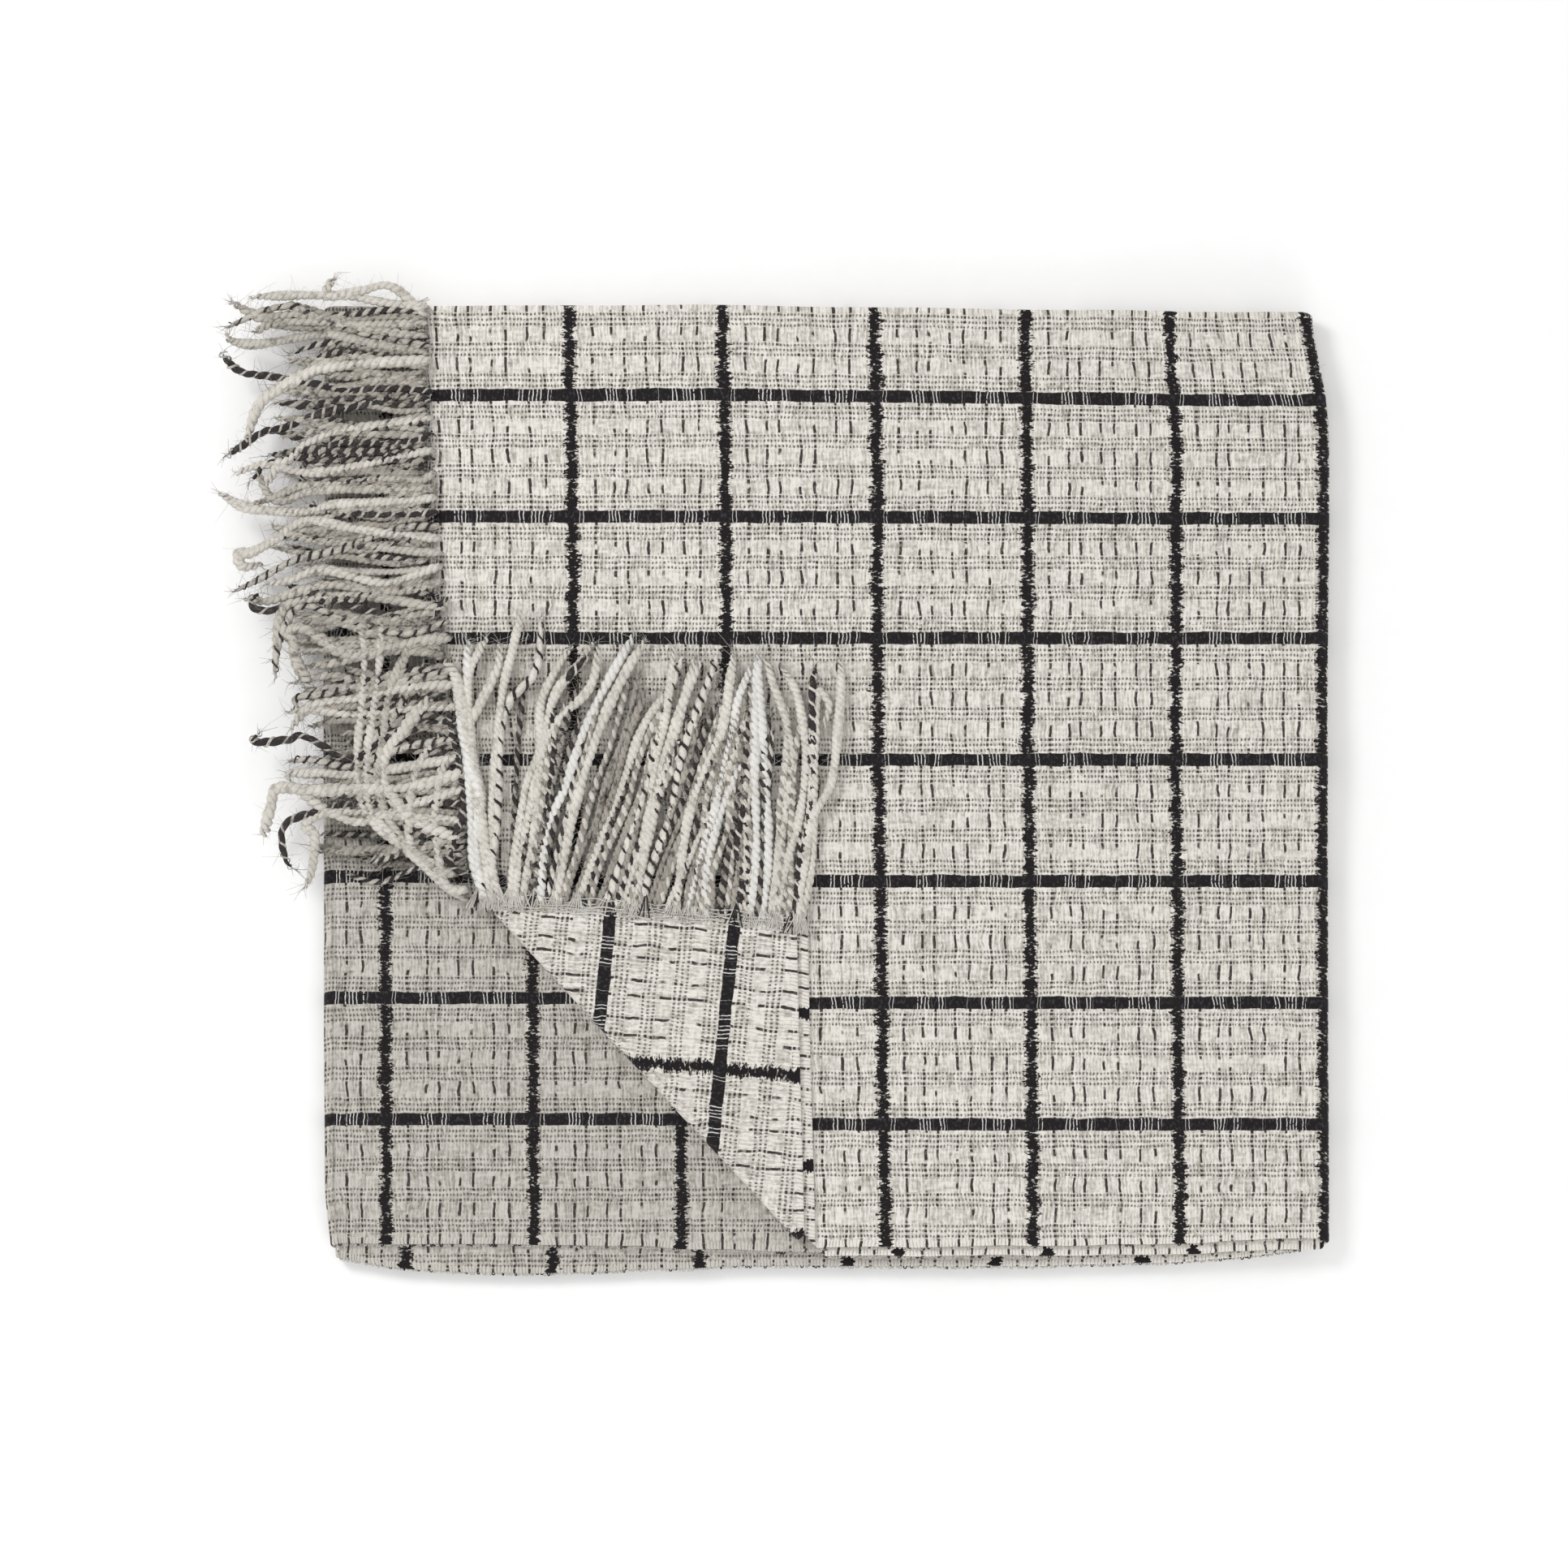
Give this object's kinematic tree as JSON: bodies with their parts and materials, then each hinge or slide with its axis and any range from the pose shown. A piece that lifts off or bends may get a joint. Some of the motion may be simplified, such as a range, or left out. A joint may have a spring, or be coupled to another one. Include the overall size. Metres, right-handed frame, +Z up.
{
  "type": "folded throw blanket",
  "caption": "Fringed woven throw blanket with a dark windowpane check, folded in half and then in three, one front corner turned back.",
  "frame": {"origin": "centre of the folded pile's box, on the surface that it lies on", "axes": "+X along the folded cloth's length, from the fringed side to the folded side; +Y towards the folded back edge; +Z up"},
  "size_m": [0.751, 0.6534, 0.0275],
  "materials": {
    "woven_cloth": "brushed open weave, ecru with charcoal windowpane check",
    "ecru_tassels": "twisted two-ply yarn, fuzzy",
    "two_tone_tassels": "twisted two-ply yarn, one charcoal ply and one ecru ply"
  },
  "bodies": {
    "bottom_panel": {"bottom_lower_leaf": "woven_cloth", "bottom_upper_leaf": "woven_cloth", "bottom_back_fold": "woven_cloth", "left_fold_inner": "woven_cloth", "left_fold_outer": "woven_cloth", "bottom_lower_fringe": "ecru_tassels", "bottom_upper_fringe": "ecru_tassels", "bottom_stripe_fringe": "two_tone_tassels"},
    "middle_panel": {"middle_lower_leaf": "woven_cloth", "middle_upper_leaf": "woven_cloth", "middle_back_fold": "woven_cloth", "right_fold_inner": "woven_cloth", "right_fold_outer": "woven_cloth"},
    "top_panel": {"top_lower_leaf": "woven_cloth", "top_upper_leaf": "woven_cloth", "top_back_fold": "woven_cloth", "corner_fold_inner": "woven_cloth", "corner_fold_outer": "woven_cloth", "top_lower_fringe": "ecru_tassels", "top_upper_fringe": "ecru_tassels", "top_stripe_fringe": "two_tone_tassels"},
    "turned_corner": {"corner_lower_leaf": "woven_cloth", "corner_upper_leaf": "woven_cloth", "corner_lower_fringe": "ecru_tassels", "corner_upper_fringe": "ecru_tassels", "corner_stripe_fringe": "two_tone_tassels"}
  },
  "joints": [
    {"name": "left_fold", "type": "hinge", "parent": "bottom_panel", "child": "middle_panel", "pos_m": [-0.3048, 0, 0.00675], "axis": [0, -1, 0], "range_deg": [0, 179.5], "deforming": ["left_fold_inner", "left_fold_outer", "top_lower_fringe", "top_upper_fringe", "top_stripe_fringe"]},
    {"name": "right_fold", "type": "hinge", "parent": "middle_panel", "child": "top_panel", "pos_m": [0.372, 0, 0.01375], "axis": [0, 1, 0], "range_deg": [0, 179.5], "deforming": ["right_fold_inner", "right_fold_outer"]},
    {"name": "corner_fold", "type": "hinge", "parent": "top_panel", "child": "turned_corner", "pos_m": [-0.19713, -0.07473, 0.02075], "axis": [0.6782, -0.7349, 0], "range_deg": [0, 179.5], "deforming": ["corner_fold_inner", "corner_fold_outer"]}
  ]
}
